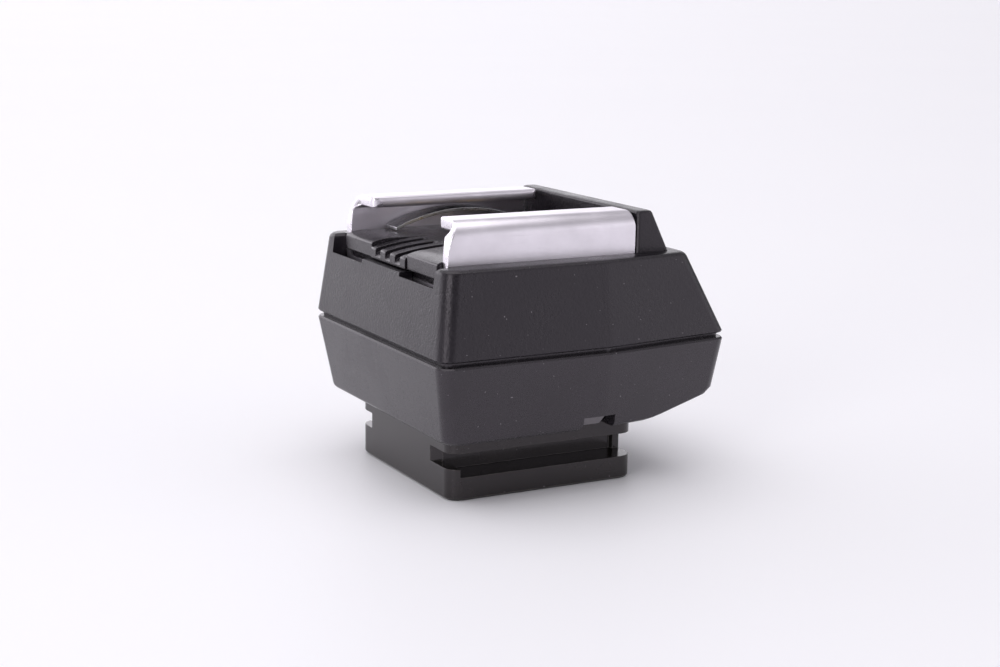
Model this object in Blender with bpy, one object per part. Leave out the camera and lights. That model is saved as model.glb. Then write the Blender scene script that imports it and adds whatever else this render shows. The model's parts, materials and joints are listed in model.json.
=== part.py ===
"""Flash shoe adapter: an accessory shoe on a two-part housing, above a grooved foot with a sprung lock pin.

Frame: +Z up, +X towards the shoe's closed end, origin on the foot's underside at the middle of the
bounding box. Lengths are metres; MM turns a length in millimetres into metres.
"""
from math import cos, pi, radians, sin, tan

import bmesh
import bpy
from mathutils import Matrix, Vector

MM = 0.001
GAP = 0.08 * MM

# Heights above the surface the foot stands on
FLANGE_TOP = 2.05 * MM
LUG_TOP = 2.75 * MM
PEDESTAL_BOTTOM = 4.1 * MM
HOUSING_BOTTOM = 5.7 * MM
FLOOR_TOP = 6.9 * MM
LOWER_RIM = 12.5 * MM
UPPER_RIM = 12.92 * MM
DECK_BOTTOM = 16.3 * MM
POCKET_FLOOR = 17.4 * MM
SHOULDER = 20.28 * MM
SHOE_FLOOR = 20.7 * MM
RAIL_TOP = 23.9 * MM

# Housing plan: both halves share the parting outline
FRONT_PARTING = -14.43 * MM
FRONT_SHOULDER = -13.55 * MM
FRONT_BOTTOM = -13.3 * MM
BACK_PARTING = 14.43 * MM
BACK_SHOULDER = 10.4 * MM
BACK_CHAMFER = 13.75 * MM
BACK_BOTTOM = 6.9 * MM
CHAMFER_TOP = 7.5 * MM
HALF_PARTING = 13.42 * MM
HALF_SHOULDER = 12.5 * MM
HALF_BOTTOM = 12.35 * MM
KINK_X = 1.5 * MM
KINK_RADIUS = 4.0 * MM
SIDE_TAPER = 0.123
WALL = 1.3 * MM
CORNER_RADIUS = 1.3 * MM
EDGE_RADIUS = 0.45 * MM
RIM_INSET = 0.55 * MM
RIM_CHAMFER = 0.15 * MM
LIP_CLEARANCE = 0.1 * MM
LIP_THICKNESS = 0.6 * MM
LIP_HEIGHT = 0.6 * MM

# Shoe frame: one channel of bent sheet
SHEET = 0.95 * MM
RAIL_HALF = 10.3 * MM
LIP_EDGE = 6.65 * MM
RAIL_FRONT = -12.42 * MM
RAIL_BACK = 5.6 * MM
BEND_RADIUS = 1.3 * MM
FRONT_SETBACK = 1.0 * MM
BACK_SETBACK = 0.2 * MM
INNER_SHARE = 0.45
LIP_CORNER_X = 0.9 * MM
LIP_CORNER_Y = 0.45 * MM

# Pocket, stop block and front wall
POCKET_HALF = 10.4 * MM
POCKET_FRONT = -12.5 * MM
STOP_FRONT = 5.7 * MM
STOP_BACK_BASE = 9.0 * MM
STOP_BACK_TOP = 7.2 * MM
SLOT_FLOOR = 18.6 * MM
SLOT_DROP = 0.75 * MM
TAB_TOP = 18.95 * MM
TAB_HALF = 3.85 * MM
POST_ROUND = 0.5 * MM

# Shoe base block
BASE_HALF = 9.3 * MM
BASE_FRONT = -12.9 * MM
BASE_BACK = 5.5 * MM
BASE_BOTTOM = POCKET_FLOOR + SHEET + 2 * GAP
NOSE_BOTTOM = TAB_TOP + GAP
LEAD_IN = 1.9 * MM
TONGUE_FRONT = -13.05 * MM
TONGUE_BACK = -7.5 * MM
TONGUE_HALF = 3.5 * MM
TONGUE_DROP = 0.64 * MM
TONGUE_GAP = 0.15 * MM
RIDGE_WIDTH = 1.0 * MM
GROOVE_FRONT = -12.75 * MM
GROOVE_BACK = -8.2 * MM
GROOVE_DEPTH = 0.42 * MM

# Hold-down leaves
LEAF_FRONT = -9.0 * MM
LEAF_BACK = 4.5 * MM
LEAF_INNER = 6.85 * MM
LEAF_OUTER = 9.2 * MM
LEAF_RISE = 1.47 * MM
LEAF_THICKNESS = 0.3 * MM

# Foot
FOOT_FRONT = -11.52 * MM
FOOT_BACK = 6.61 * MM
FOOT_HALF = 9.3 * MM
FOOT_CORNER = 1.3 * MM
NECK_HALF = 6.3 * MM
NECK_MOUTH = 5.4 * MM
NECK_STOP = 6.75 * MM
NECK_FLARE = 0.8 * MM
STOP_LENGTH = 0.8 * MM
LUG_LENGTH = 1.0 * MM
SPIGOT = (-9.8 * MM, 4.6 * MM, 6.65 * MM)
CHANNEL_FRONT = -9.0 * MM
CHANNEL_HALF = 4.0 * MM
CHANNEL_TOP = 1.35 * MM

# Lock pin and release slide
PIN_X = -7.25 * MM
PIN_RADIUS = 0.9 * MM
PIN_TIP = 0.25 * MM
PIN_STUD = 0.5 * MM
HEAD_TOP = 12.4 * MM
LOCK_BOSS_BOTTOM = 15.15 * MM
SLIDE_TRAVEL = 0.8 * MM
SLIDE_BOTTOM = 8.3 * MM
SLIDE_TOP = 9.1 * MM
SLIDE_FRONT = -10.3 * MM
SLIDE_HALF = 2.5 * MM
RAMP_START = -6.35 * MM
RAMP_LENGTH = 2.6 * MM
RAMP_INNER = 1.2 * MM
RAMP_OUTER = 2.3 * MM
WINDOW = (-0.5 * MM, 2.65 * MM)
WINDOW_TOP = 6.85 * MM
WINDOW_ROUND = 0.7 * MM
LEG_NEAR = -10.9 * MM
LEG_FAR = -10.0 * MM
TIP_BOTTOM = 6.15 * MM
TIP_FRONT = -0.4 * MM
TIP_BACK = 1.8 * MM
TIP_NEAR = -12.1 * MM
ARM_BACK = 1.5 * MM
RELEASE_Y = -8.8 * MM
RELEASE_STOP = (5.2 * MM, 6.2 * MM)

# Contacts and circuit board: x, y, head radius, shaft radius
SHOE_CONTACTS = {
    "centre": (-3.75 * MM, 0.0, 1.7 * MM, 0.75 * MM),
    "ready": (0.6 * MM, 3.5 * MM, 1.0 * MM, 0.45 * MM),
    "control": (0.6 * MM, -3.5 * MM, 1.0 * MM, 0.45 * MM),
}
SHAFT_CLEARANCE = 0.12 * MM
COLLAR_BOTTOM = 15.65 * MM
COLLAR_TOP = 16.0 * MM
FOOT_CONTACT_X = 3.75 * MM
FOOT_CONTACT_PITCH = 2.0 * MM
FOOT_CONTACT_RADIUS = 0.4 * MM
FOOT_COLLAR_TOP = 7.4 * MM
CARRIER_CEILING = 9.95 * MM
CARRIER_TOP = 10.8 * MM
BOARD = (-5.15 * MM, 6.75 * MM, 8.6 * MM)
BOARD_BOTTOM = 13.65 * MM
BOARD_TOP = 14.35 * MM
PLATE = (-10.85 * MM, 5.2 * MM, 7.55 * MM)
PLATE_BOTTOM = 7.0 * MM
PLATE_TOP = 7.5 * MM

# Fasteners
HOUSING_SCREWS = [(8.9 * MM, -8.0 * MM), (8.9 * MM, 8.0 * MM)]
FOOT_SCREWS = [(-8.8 * MM, -5.7 * MM), (-8.8 * MM, 5.7 * MM), (0.5 * MM, -5.7 * MM), (0.5 * MM, 5.7 * MM)]
FRAME_SCREWS = {"left": (-4.15 * MM, 6.2 * MM), "right": (-4.15 * MM, -6.2 * MM)}
BOARD_STUDS = [(5.4 * MM, -6.7 * MM), (5.4 * MM, 6.7 * MM)]
HEAD_BOTTOM = 6.75 * MM
COUNTERBORE_TOP = 7.6 * MM
HOOKS = ((4.2 * MM, 8.2 * MM), (-8.2 * MM, -4.2 * MM))
HOOK_FRONT = -12.75 * MM
HOOK_BACK = -11.9 * MM
HOOK_TOP = 14.6 * MM

SMOOTH_ANGLE = radians(35)


# ---------------------------------------------------------------- materials

def material(name, colour, roughness, metallic=0.0):
    """A Principled material of one colour."""
    made = bpy.data.materials.new(name)
    made.use_nodes = True
    shader = made.node_tree.nodes["Principled BSDF"]
    shader.inputs["Base Color"].default_value = (*colour, 1.0)
    shader.inputs["Roughness"].default_value = roughness
    shader.inputs["Metallic"].default_value = metallic
    return made


BLACK_GRAIN = ((0.012, 0.012, 0.013), 0.5)
BLACK_SMOOTH = ((0.014, 0.013, 0.013), 0.35)
SATIN_METAL = ((0.62, 0.61, 0.63), 0.3, 1.0)
STEEL = ((0.42, 0.42, 0.43), 0.35, 1.0)
DARK_STEEL = ((0.08, 0.08, 0.085), 0.4, 1.0)
CONTACT_GOLD = ((0.75, 0.56, 0.25), 0.25, 1.0)
BOARD_GREEN = ((0.03, 0.12, 0.05), 0.5)
WIRE_LOOKS = {
    "sync": ((0.5, 0.02, 0.02), 0.5),
    "ready": ((0.6, 0.45, 0.03), 0.5),
    "control": ((0.03, 0.08, 0.4), 0.5),
    "ground": ((0.02, 0.02, 0.02), 0.5),
}


# ---------------------------------------------------------------- mesh helpers

def new_object(name, mesh_builder, look):
    """Turns a bmesh into a named object with outward faces and its own material."""
    bmesh.ops.recalc_face_normals(mesh_builder, faces=mesh_builder.faces)
    mesh = bpy.data.meshes.new(name)
    mesh_builder.to_mesh(mesh)
    mesh_builder.free()
    mesh.shade_smooth()
    mesh.set_sharp_from_angle(angle=SMOOTH_ANGLE)
    made = bpy.data.objects.new(name, mesh)
    bpy.context.scene.collection.objects.link(made)
    if look:
        mesh.materials.append(material(name, *look))
    return made


def between(low, high, part):
    return low + (high - low) * part


def arc(centre, radius, first, last, steps):
    """Points (u, v) on an arc from angle first to angle last, in degrees."""
    points = []
    for step in range(steps + 1):
        angle = radians(between(first, last, step / steps))
        points.append((centre[0] + radius * cos(angle), centre[1] + radius * sin(angle)))
    return points


def rounded_polygon(corners, radii, steps):
    """The corners (x, y) of a convex outline, each replaced by an arc of its radius."""
    points = []
    count = len(corners)
    for index, corner in enumerate(corners):
        here = Vector(corner)
        back = (Vector(corners[index - 1]) - here).normalized()
        ahead = (Vector(corners[(index + 1) % count]) - here).normalized()
        half_angle = back.angle(ahead) / 2
        radius = radii[index]
        centre = here + (back + ahead).normalized() * (radius / sin(half_angle))
        start = here + back * (radius / tan(half_angle)) - centre
        turn = 1 if back.x * ahead.y - back.y * ahead.x < 0 else -1
        sweep = turn * (pi - 2 * half_angle)
        for step in range(steps + 1):
            points.append(centre + Matrix.Rotation(sweep * step / steps, 2) @ start)
    return points


def rectangle(x_low, x_high, half, radius, steps=4):
    """A rounded rectangle from x_low to x_high, and half wide each side of the X axis."""
    corners = [(x_low, -half), (x_high, -half), (x_high, half), (x_low, half)]
    return rounded_polygon(corners, [radius] * 4, steps)


def loft(rings):
    """A closed body through rings of 3D points with equal counts."""
    body = bmesh.new()
    rows = [[body.verts.new(point) for point in ring] for ring in rings]
    count = len(rows[0])
    for low, high in zip(rows, rows[1:]):
        for index in range(count):
            after = (index + 1) % count
            body.faces.new((low[index], low[after], high[after], high[index]))
    body.faces.new(rows[0])
    body.faces.new(rows[-1])
    return body


def prism(outline, low, high, axis="Z"):
    """An outline extruded between two heights. Along Y it lies in (x, z), along X in (y, z)."""
    place = {
        "Z": lambda u, v, height: (u, v, height),
        "Y": lambda u, v, height: (u, height, v),
        "X": lambda u, v, height: (height, u, v),
    }[axis]
    return loft([[place(u, v, height) for u, v in outline] for height in (low, high)])


def box(x_low, x_high, y_low, y_high, z_low, z_high):
    outline = [(x_low, y_low), (x_high, y_low), (x_high, y_high), (x_low, y_high)]
    return prism(outline, z_low, z_high)


def lathe(profile, centre=(0.0, 0.0), segments=16):
    """A turned body: profile runs from one end of the axis to the other as (radius, height)."""
    rings = []
    for radius, height in profile:
        ring = []
        for step in range(segments):
            angle = 2 * pi * step / segments
            ring.append((centre[0] + radius * cos(angle), centre[1] + radius * sin(angle), height))
        rings.append(ring)
    return loft(rings)


def rod(radius, low, high, centre=(0.0, 0.0), segments=16):
    return lathe([(radius, low), (radius, high)], centre, segments)


def tube(path, radius, sides):
    """A round bar along a path of points, closed at both ends."""
    rings = []
    side = Vector((0.0, 0.0, 0.0))
    for index, point in enumerate(path):
        ahead = path[min(index + 1, len(path) - 1)] - path[max(index - 1, 0)]
        ahead.normalize()
        if index == 0:
            side = ahead.orthogonal().normalized()
        side = (side - ahead * side.dot(ahead)).normalized()
        other = ahead.cross(side)
        ring = []
        for step in range(sides):
            angle = 2 * pi * step / sides
            ring.append(point + radius * (cos(angle) * side + sin(angle) * other))
        rings.append(ring)
    return loft(rings)


def coil(radius, wire, length, turns):
    """A compression spring on +Z from height 0 to length, its wire inside those limits."""
    path = []
    steps = int(turns * 10)
    for step in range(steps + 1):
        part = step / steps
        angle = 2 * pi * turns * part
        height = wire + (length - 2 * wire) * part
        path.append(Vector((radius * cos(angle), radius * sin(angle), height)))
    return tube(path, wire, sides=5)


def modify(target, bodies, operation):
    """Adds exact Booleans, each with a hidden helper object."""
    for body in bodies:
        helper = new_object(f"helper_{target.name}_{len(target.modifiers)}", body, None)
        helper.hide_render = True
        helper.display_type = "WIRE"
        step = target.modifiers.new(helper.name, "BOOLEAN")
        step.operation = operation
        step.solver = "EXACT"
        step.object = helper


def cut(target, *bodies):
    modify(target, bodies, "DIFFERENCE")


def join(target, *bodies):
    modify(target, bodies, "UNION")


def apply_cuts(target):
    """Turns a body and its Booleans into one plain mesh with sharp edges where faces meet."""
    helpers = [step.object for step in target.modifiers]
    graph = bpy.context.evaluated_depsgraph_get()
    solid = bpy.data.meshes.new_from_object(target.evaluated_get(graph))
    solid.name = target.name
    target.modifiers.clear()
    target.data = solid
    solid.shade_smooth()
    solid.set_sharp_from_angle(angle=SMOOTH_ANGLE)
    for helper in helpers:
        bpy.data.objects.remove(helper, do_unlink=True)


def move_origin(target, point):
    """Puts the object's origin on its joint's axis without moving the body."""
    for part in [target] + [step.object for step in target.modifiers]:
        part.data.transform(Matrix.Translation(-Vector(point)))
        part.location = point


# ---------------------------------------------------------------- housing

def housing_ring(x_front, x_back, half, inset, height):
    """One level of the housing: parallel sides to the kink, then a taper to the back."""
    front = x_front + inset
    back = x_back - inset
    side = half - inset
    half_back = side - (x_back - KINK_X) * SIDE_TAPER
    radius = max(CORNER_RADIUS - inset, 0.3 * MM)
    corners = [
        (front, -side), (KINK_X, -side), (back, -half_back),
        (back, half_back), (KINK_X, side), (front, side),
    ]
    radii = [radius, KINK_RADIUS, radius, radius, KINK_RADIUS, radius]
    return [(x, y, height) for x, y in rounded_polygon(corners, radii, 4)]


def upper_ring(height, inset=0.0):
    part = (height - UPPER_RIM) / (SHOULDER - UPPER_RIM)
    return housing_ring(
        between(FRONT_PARTING, FRONT_SHOULDER, part),
        between(BACK_PARTING, BACK_SHOULDER, part),
        between(HALF_PARTING, HALF_SHOULDER, part),
        inset,
        height,
    )


def lower_back(height):
    """Where the lower housing ends at this height: the sloping underside, then the back wall."""
    if height < CHAMFER_TOP:
        part = (height - HOUSING_BOTTOM) / (CHAMFER_TOP - HOUSING_BOTTOM)
        return between(BACK_BOTTOM, BACK_CHAMFER, part)
    return between(BACK_CHAMFER, BACK_PARTING, (height - CHAMFER_TOP) / (LOWER_RIM - CHAMFER_TOP))


def lower_ring(height, inset=0.0, x_back=None):
    part = (height - HOUSING_BOTTOM) / (LOWER_RIM - HOUSING_BOTTOM)
    return housing_ring(
        between(FRONT_BOTTOM, FRONT_PARTING, part),
        lower_back(height) if x_back is None else x_back,
        between(HALF_BOTTOM, HALF_PARTING, part),
        inset,
        height,
    )


def stop_block():
    """The raised wall that ends the shoe: upright in front, sloping behind."""
    foot = 0.6 * MM
    rings = []
    for height, x_back, inset in (
        (SHOULDER - foot, STOP_BACK_BASE, 0.0),
        (SHOULDER, STOP_BACK_BASE, 0.0),
        (RAIL_TOP - 0.25 * MM, STOP_BACK_TOP + 0.12 * MM, 0.0),
        (RAIL_TOP - 0.07 * MM, STOP_BACK_TOP, 0.07 * MM),
        (RAIL_TOP, STOP_BACK_TOP - 0.2 * MM, 0.25 * MM),
    ):
        outline = rectangle(STOP_FRONT + inset, x_back, RAIL_HALF - inset, 0.35 * MM, 3)
        rings.append([(x, y, height) for x, y in outline])
    return loft(rings)


def front_opening():
    """Cuts the front wall down between the corner posts and leaves the centre tab."""
    above = RAIL_TOP + MM
    outer = POCKET_HALF + POST_ROUND
    rounding = arc((outer, SHOULDER - POST_ROUND), POST_ROUND, 180, 90, 3)
    right = [(TAB_HALF, TAB_TOP), (TAB_HALF, SLOT_FLOOR), (POCKET_HALF, SLOT_FLOOR)]
    right += rounding + [(outer, above)]
    left = [(-y, z) for y, z in reversed(right)]
    return prism(left + right, FRONT_PARTING - MM, POCKET_FRONT + 0.1 * MM, axis="X")


def slot_slope(side):
    """Slopes the bottom of one front slot down towards the pocket."""
    edge = -13.6 * MM
    inside = POCKET_FRONT + 0.1 * MM
    above = SLOT_FLOOR + 0.3 * MM
    low, high = sorted((side * TAB_HALF, side * POCKET_HALF))
    outline = [(edge, SLOT_FLOOR), (inside, SLOT_FLOOR - SLOT_DROP), (inside, above), (edge, above)]
    return prism(outline, low, high, "Y")


def board_stud(place):
    """A pin that carries the circuit board, with a shoulder above it."""
    return lathe(
        [
            (0.4 * MM, BOARD_BOTTOM - 0.4 * MM), (0.4 * MM, BOARD_TOP + GAP),
            (1.2 * MM, BOARD_TOP + GAP), (1.2 * MM, DECK_BOTTOM + 0.3 * MM),
        ],
        place, 12,
    )


def make_upper_housing():
    rings = [upper_ring(UPPER_RIM, RIM_CHAMFER), upper_ring(UPPER_RIM + RIM_CHAMFER)]
    for angle in (0, 30, 60, 90):
        inset = EDGE_RADIUS * (1 - cos(radians(angle)))
        rings.append(upper_ring(SHOULDER - EDGE_RADIUS * (1 - sin(radians(angle))), inset))
    shell = new_object("upper_housing", loft(rings), BLACK_GRAIN)
    join(shell, stop_block())
    cut(
        shell,
        box(POCKET_FRONT, STOP_FRONT, -POCKET_HALF, POCKET_HALF, POCKET_FLOOR, RAIL_TOP + MM),
        front_opening(),
        slot_slope(1),
        slot_slope(-1),
        loft([upper_ring(UPPER_RIM - MM, WALL), upper_ring(DECK_BOTTOM, WALL)]),
    )
    for y_low, y_high in HOOKS:
        cut(shell, box(-13.65 * MM, HOOK_BACK, y_low - 0.2 * MM, y_high + 0.2 * MM, 13.8 * MM, 14.8 * MM))
    for place in HOUSING_SCREWS:
        join(shell, rod(1.7 * MM, UPPER_RIM + 0.1 * MM, DECK_BOTTOM + 0.3 * MM, place))
        cut(shell, rod(0.65 * MM, UPPER_RIM - MM, DECK_BOTTOM - 0.3 * MM, place, 12))
    for place in BOARD_STUDS:
        join(shell, board_stud(place))
    join(shell, rod(1.6 * MM, LOCK_BOSS_BOTTOM, DECK_BOTTOM + 0.3 * MM, (PIN_X, 0.0)))
    for place in FRAME_SCREWS.values():
        cut(shell, rod(0.7 * MM, DECK_BOTTOM - MM, POCKET_FLOOR + MM, place, 12))
    for x, y, _, shaft in SHOE_CONTACTS.values():
        cut(shell, rod(shaft + SHAFT_CLEARANCE, DECK_BOTTOM - MM, POCKET_FLOOR + MM, (x, y)))
    return shell


def window_outline():
    """Side view (x, z) of the lever window, open below, with one rounded lower corner."""
    low, high = WINDOW
    below = HOUSING_BOTTOM - MM
    corner = arc((low - WINDOW_ROUND, HOUSING_BOTTOM + WINDOW_ROUND), WINDOW_ROUND, -90, 0, 4)
    start = [(low - WINDOW_ROUND, below)]
    return start + corner + [(low, WINDOW_TOP), (high, WINDOW_TOP), (high, below)]


def make_lower_housing():
    rings = []
    for angle in (0, 30, 60, 90):
        inset = EDGE_RADIUS * (1 - sin(radians(angle)))
        rings.append(lower_ring(HOUSING_BOTTOM + EDGE_RADIUS * (1 - cos(radians(angle))), inset))
    rings += [
        lower_ring(CHAMFER_TOP - 0.15 * MM),
        lower_ring(CHAMFER_TOP + 0.4 * MM),
        lower_ring(LOWER_RIM - RIM_CHAMFER),
        lower_ring(LOWER_RIM, RIM_CHAMFER),
        lower_ring(LOWER_RIM, RIM_INSET),
        lower_ring(UPPER_RIM - GAP, RIM_INSET),
        upper_ring(UPPER_RIM - GAP, WALL + LIP_CLEARANCE),
        upper_ring(UPPER_RIM + LIP_HEIGHT, WALL + LIP_CLEARANCE),
    ]
    shell = new_object("lower_housing", loft(rings), BLACK_SMOOTH)
    cut(shell, loft([
        lower_ring(FLOOR_TOP, WALL, BACK_BOTTOM + 1.2 * MM),
        lower_ring(CHAMFER_TOP + 1.2 * MM, WALL, BACK_CHAMFER),
        lower_ring(LOWER_RIM - MM, WALL),
        upper_ring(UPPER_RIM, WALL + LIP_CLEARANCE + LIP_THICKNESS),
        upper_ring(UPPER_RIM + MM, WALL + LIP_CLEARANCE + LIP_THICKNESS),
    ]))
    for place in HOUSING_SCREWS:
        join(shell, rod(1.9 * MM, FLOOR_TOP - 0.3 * MM, UPPER_RIM, place))
        cut(shell, lathe(
            [
                (1.25 * MM, HOUSING_BOTTOM - MM), (1.25 * MM, COUNTERBORE_TOP),
                (0.75 * MM, COUNTERBORE_TOP), (0.75 * MM, UPPER_RIM + MM),
            ],
            place,
        ))
    x_low, x_high, half = SPIGOT
    clearance = 0.12 * MM
    hole = rectangle(x_low - clearance, x_high + clearance, half + clearance, 0.6 * MM, 2)
    cut(shell, prism(hole, HOUSING_BOTTOM - MM, FLOOR_TOP + MM))
    cut(
        shell,
        prism(window_outline(), -14 * MM, LEG_FAR + 0.2 * MM, "Y"),
        box(*WINDOW, LEG_NEAR - 0.1 * MM, LEG_FAR + 0.2 * MM, HOUSING_BOTTOM - MM, FLOOR_TOP + MM),
    )
    stop_low, stop_high = RELEASE_STOP
    join(shell, box(stop_low, stop_high, -9.7 * MM, -7.9 * MM, FLOOR_TOP - 0.3 * MM, 9.7 * MM))
    for y_low, y_high in HOOKS:
        join(
            shell,
            box(-13.5 * MM, HOOK_BACK, y_low, y_high, 10.9 * MM, 12.3 * MM),
            prism(hook_outline(), y_low, y_high, "Y"),
        )
    return shell


def hook_outline():
    """Side view (x, z) of a snap hook that reaches up into a recess of the upper housing."""
    return [
        (HOOK_FRONT, 11.2 * MM), (HOOK_BACK, 11.2 * MM), (HOOK_BACK, HOOK_TOP), (HOOK_FRONT, HOOK_TOP),
        (HOOK_FRONT - 0.6 * MM, 14.1 * MM), (HOOK_FRONT, 14.0 * MM),
    ]


# ---------------------------------------------------------------- shoe

def lip_stations():
    """The lip from its rounded inner edge.

    A station is outer y and z, inner y and z, the front and back setback, and the inner edge's share of it.
    """
    stations = []
    steps = 4
    for step in range(steps + 1):
        angle = pi / 2 * step / steps
        y = LIP_EDGE + LIP_CORNER_Y * (1 - cos(angle))
        pull = LIP_CORNER_X * (1 - sin(angle))
        back = BACK_SETBACK + pull * 0.5
        stations.append((y, RAIL_TOP, y, RAIL_TOP - SHEET, FRONT_SETBACK + pull, back, 1.0))
    return stations


def bend_stations():
    """The bend from the lip into the rail, its ends easing out to the rail's full length."""
    stations = []
    steps = 5
    inner_bend = BEND_RADIUS - SHEET
    centre_y = RAIL_HALF - BEND_RADIUS
    centre_z = RAIL_TOP - BEND_RADIUS
    for step in range(steps + 1):
        part = step / steps
        angle = pi / 2 * (1 - part)
        ease = 1 - part ** 1.5
        stations.append((
            centre_y + BEND_RADIUS * cos(angle), centre_z + BEND_RADIUS * sin(angle),
            centre_y + inner_bend * cos(angle), centre_z + inner_bend * sin(angle),
            between(0.38 * MM, FRONT_SETBACK, ease), BACK_SETBACK * ease, between(INNER_SHARE, 1.0, ease),
        ))
    return stations


def root_stations():
    """The rail's lower end and its bend into the plate under the base block."""
    low = POCKET_FLOOR + GAP
    inner_bend = BEND_RADIUS - SHEET
    inner_side = RAIL_HALF - SHEET
    stations = []
    for below_top, setback in ((1.9 * MM, 0.2 * MM), (2.5 * MM, 0.05 * MM), (2.9 * MM, 0.0)):
        height = RAIL_TOP - below_top
        stations.append((RAIL_HALF, height, inner_side, height, setback, 0.0, INNER_SHARE))
    for degrees in (0, 30, 60, 90):
        angle = radians(degrees)
        stations.append((
            RAIL_HALF - BEND_RADIUS * (1 - cos(angle)), low + BEND_RADIUS * (1 - sin(angle)),
            RAIL_HALF - BEND_RADIUS + inner_bend * cos(angle), low + BEND_RADIUS - inner_bend * sin(angle),
            0.0, 0.0, INNER_SHARE,
        ))
    return stations


def make_shoe_frame():
    """One sheet channel: lips, rails and the plate below the base block."""
    half = lip_stations() + bend_stations() + root_stations()
    mirrored = [(-a, b, -c, d, *ends) for a, b, c, d, *ends in reversed(half)]
    rings = []
    for outer_y, outer_z, inner_y, inner_z, front, back, share in half + mirrored:
        x_high = RAIL_BACK - back
        rings.append([
            (RAIL_FRONT + front, outer_y, outer_z), (x_high, outer_y, outer_z),
            (x_high, inner_y, inner_z), (RAIL_FRONT + front * share, inner_y, inner_z),
        ])
    frame = new_object("shoe_frame", loft(rings), SATIN_METAL)
    for x, y, _, shaft in SHOE_CONTACTS.values():
        cut(frame, rod(shaft + 0.5 * MM, POCKET_FLOOR - MM, BASE_BOTTOM + MM, (x, y)))
    for place in FRAME_SCREWS.values():
        cut(frame, rod(0.7 * MM, POCKET_FLOOR - MM, BASE_BOTTOM + MM, place, 12))
    return frame


def falling_top(front, length, drop):
    """A side outline (x, z) of a top that falls from the shoe floor to a rounded nose."""
    points = []
    steps = 6
    nose = 0.3 * MM
    for step in range(steps + 1):
        x = between(front + length, front + nose, step / steps)
        points.append((x, fall(x, front, length, drop)))
    end = points[-1][1]
    return points + [
        (front + 0.08 * MM, end - 0.1 * MM), (front, end - 0.3 * MM), (front, NOSE_BOTTOM + 0.1 * MM),
    ]


def fall(x, front, length, drop):
    """Height of that top at x."""
    part = (front + length - x) / length
    return SHOE_FLOOR - drop * part ** 2


def base_outline():
    """Side view of the base block: it overhangs the front wall's slots."""
    inside = POCKET_FRONT + 0.15 * MM
    top = falling_top(BASE_FRONT, LEAD_IN, 0.3 * MM)
    return [(BASE_BACK, BASE_BOTTOM), (BASE_BACK, SHOE_FLOOR)] + top + [
        (BASE_FRONT + 0.1 * MM, NOSE_BOTTOM), (inside, NOSE_BOTTOM), (inside, BASE_BOTTOM),
    ]


def tongue_outline():
    """Side view of the tongue between the side plates."""
    inside = POCKET_FRONT + 0.6 * MM
    root = SHOE_FLOOR - 1.2 * MM
    back = TONGUE_BACK + 0.4 * MM
    top = falling_top(TONGUE_FRONT, TONGUE_BACK - TONGUE_FRONT, TONGUE_DROP)
    return [(back, root), (back, SHOE_FLOOR)] + top + [
        (TONGUE_FRONT + 0.1 * MM, NOSE_BOTTOM), (inside, NOSE_BOTTOM), (inside, root),
    ]


def tongue_well():
    """Side view of the room cut in the base block beside the tongue."""
    inside = POCKET_FRONT + 0.3 * MM
    front = BASE_FRONT - MM
    above = SHOE_FLOOR + MM
    return [
        (front, TAB_TOP - MM), (front, above), (TONGUE_BACK, above), (TONGUE_BACK, SHOE_FLOOR - 0.5 * MM),
        (inside, SHOE_FLOOR - MM), (inside, TAB_TOP - MM),
    ]


def ridge_groove():
    """Side view of one groove between ridges: it opens through the nose and runs out behind."""
    above = SHOE_FLOOR + MM
    outside = TONGUE_FRONT - 0.1 * MM
    nose = SHOE_FLOOR - TONGUE_DROP
    steps = 5
    floor = [(outside, nose - 0.85 * MM), (TONGUE_FRONT + 0.1 * MM, nose - 0.6 * MM)]
    for step in range(steps + 1):
        x = between(GROOVE_FRONT, GROOVE_BACK - 0.5 * MM, step / steps)
        floor.append((x, fall(x, TONGUE_FRONT, TONGUE_BACK - TONGUE_FRONT, TONGUE_DROP) - GROOVE_DEPTH))
    return [(outside, above)] + floor + [(GROOVE_BACK, SHOE_FLOOR + 0.05 * MM), (GROOVE_BACK, above)]


def make_shoe_base():
    """Side plates with a short lead-in, and a grooved tongue that reaches over the centre tab."""
    base = new_object("shoe_base", prism(base_outline(), -BASE_HALF, BASE_HALF, "Y"), BLACK_SMOOTH)
    outside = BASE_HALF + 0.1 * MM
    below = BASE_BOTTOM - 0.1 * MM
    for side in (-1, 1):
        corner = [
            (side * (BASE_HALF - 0.5 * MM), below),
            (side * outside, below),
            (side * outside, below + 0.6 * MM),
        ]
        cut(base, prism(corner, BASE_FRONT - MM, BASE_BACK + MM, "X"))
    room = TONGUE_HALF + TONGUE_GAP
    cut(base, prism(tongue_well(), -room, room, "Y"))
    join(base, prism(tongue_outline(), -TONGUE_HALF, TONGUE_HALF, "Y"))
    for number in range(3):
        low = -TONGUE_HALF + RIDGE_WIDTH * (2 * number + 1)
        cut(base, prism(ridge_groove(), low, low + RIDGE_WIDTH, "Y"))
    for x, y, head, shaft in SHOE_CONTACTS.values():
        seat = SHOE_FLOOR - 0.5 * MM
        cut(base, lathe(
            [
                (shaft + SHAFT_CLEARANCE, BASE_BOTTOM - MM), (shaft + SHAFT_CLEARANCE, seat),
                (head + SHAFT_CLEARANCE, seat), (head + SHAFT_CLEARANCE, SHOE_FLOOR + MM),
            ],
            (x, y), 20,
        ))
    for place in FRAME_SCREWS.values():
        cut(base, rod(0.65 * MM, BASE_BOTTOM - MM, SHOE_FLOOR - 0.7 * MM, place, 12))
    return base


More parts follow.
